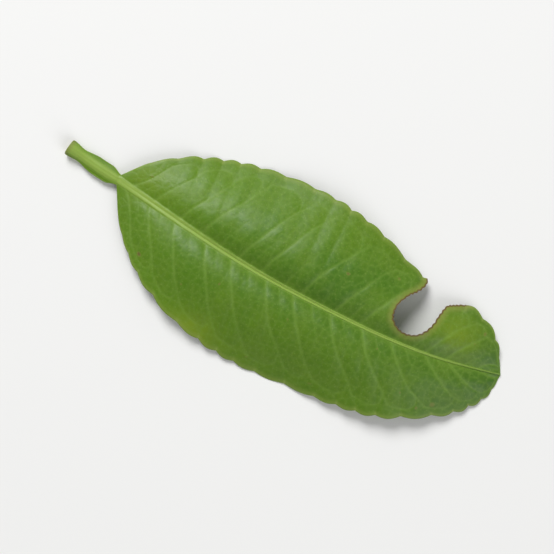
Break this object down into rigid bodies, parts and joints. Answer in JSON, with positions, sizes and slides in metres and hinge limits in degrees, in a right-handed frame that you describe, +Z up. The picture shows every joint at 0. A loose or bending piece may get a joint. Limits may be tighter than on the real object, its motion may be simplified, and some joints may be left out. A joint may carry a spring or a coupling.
{
  "type": "lime leaf",
  "caption": "Oval lime leaf with a scalloped margin, a bitten notch and a short petiole, lying glossy side up; used whole as a kitchen herb.",
  "frame": {"origin": "middle of the leaf's footprint, on the surface that it lies on", "axes": "+X from the cut end of the petiole to the leaf's tip, +Y towards the bitten half-blade, +Z up, on the side of the glossy upper face"},
  "size_m": [0.0748, 0.0298, 0.0061],
  "materials": {
    "leaf": "satin"
  },
  "bodies": {
    "root": {"lime_leaf": "leaf"}
  },
  "joints": []
}
